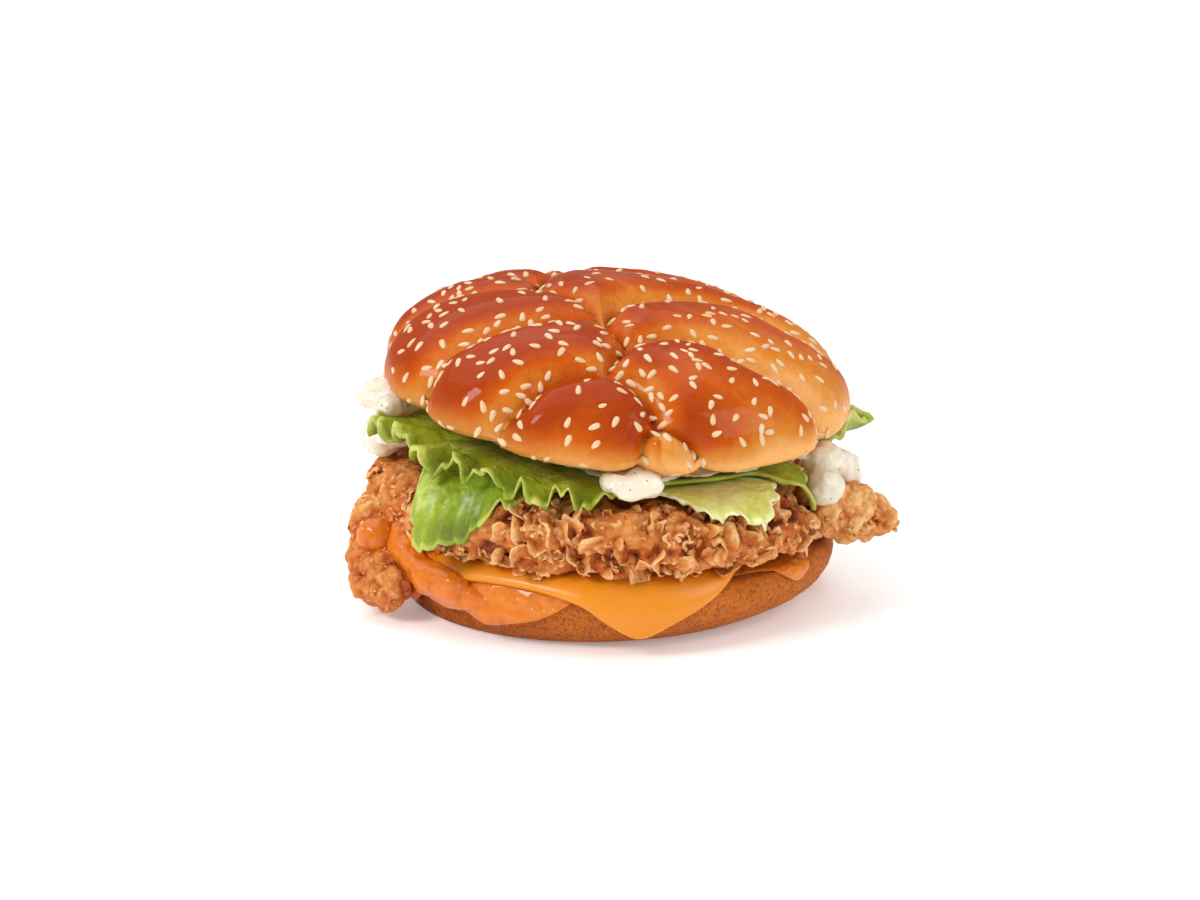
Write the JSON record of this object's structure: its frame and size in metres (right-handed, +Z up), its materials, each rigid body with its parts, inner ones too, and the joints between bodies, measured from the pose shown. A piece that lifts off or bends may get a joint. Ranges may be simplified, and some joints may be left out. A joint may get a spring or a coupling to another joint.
{
  "type": "chicken burger",
  "caption": "Fried chicken burger on a plaited sesame bun, with lettuce, mayonnaise, cheese slice and orange burger sauce.",
  "frame": {"origin": "under the middle of the burger's box, on the surface that it stands on", "axes": "+Z up through the stack, -Y towards the shown front, +X along the fillet towards its free end"},
  "size_m": [0.1344, 0.1184, 0.0763],
  "materials": {
    "heel_crust": "fine matt brown bread crust",
    "orange_sauce": "glossy orange sauce with fine specks",
    "cheese": "smooth satin melted cheese",
    "fried_crust": "crisp craggy fried breading",
    "mayonnaise": "glossy cream with pepper specks",
    "green_leaf": "veined satin green leaf",
    "pale_leaf": "veined satin pale green leaf",
    "glazed_crust": "glazed golden to red-brown crust with sesame seeds"
  },
  "bodies": {
    "root": {"bottom_bun": "heel_crust", "burger_sauce": "orange_sauce", "burger_sauce_drop": "orange_sauce", "cheese_slice": "cheese", "chicken_fillet": "fried_crust", "mayonnaise_dollop": "mayonnaise", "lettuce_flap_leaf": "green_leaf", "lettuce_pale_leaf": "pale_leaf", "lettuce_ruffle_leaf": "green_leaf", "mayonnaise_layer": "mayonnaise", "top_bun": "glazed_crust"}
  },
  "joints": []
}
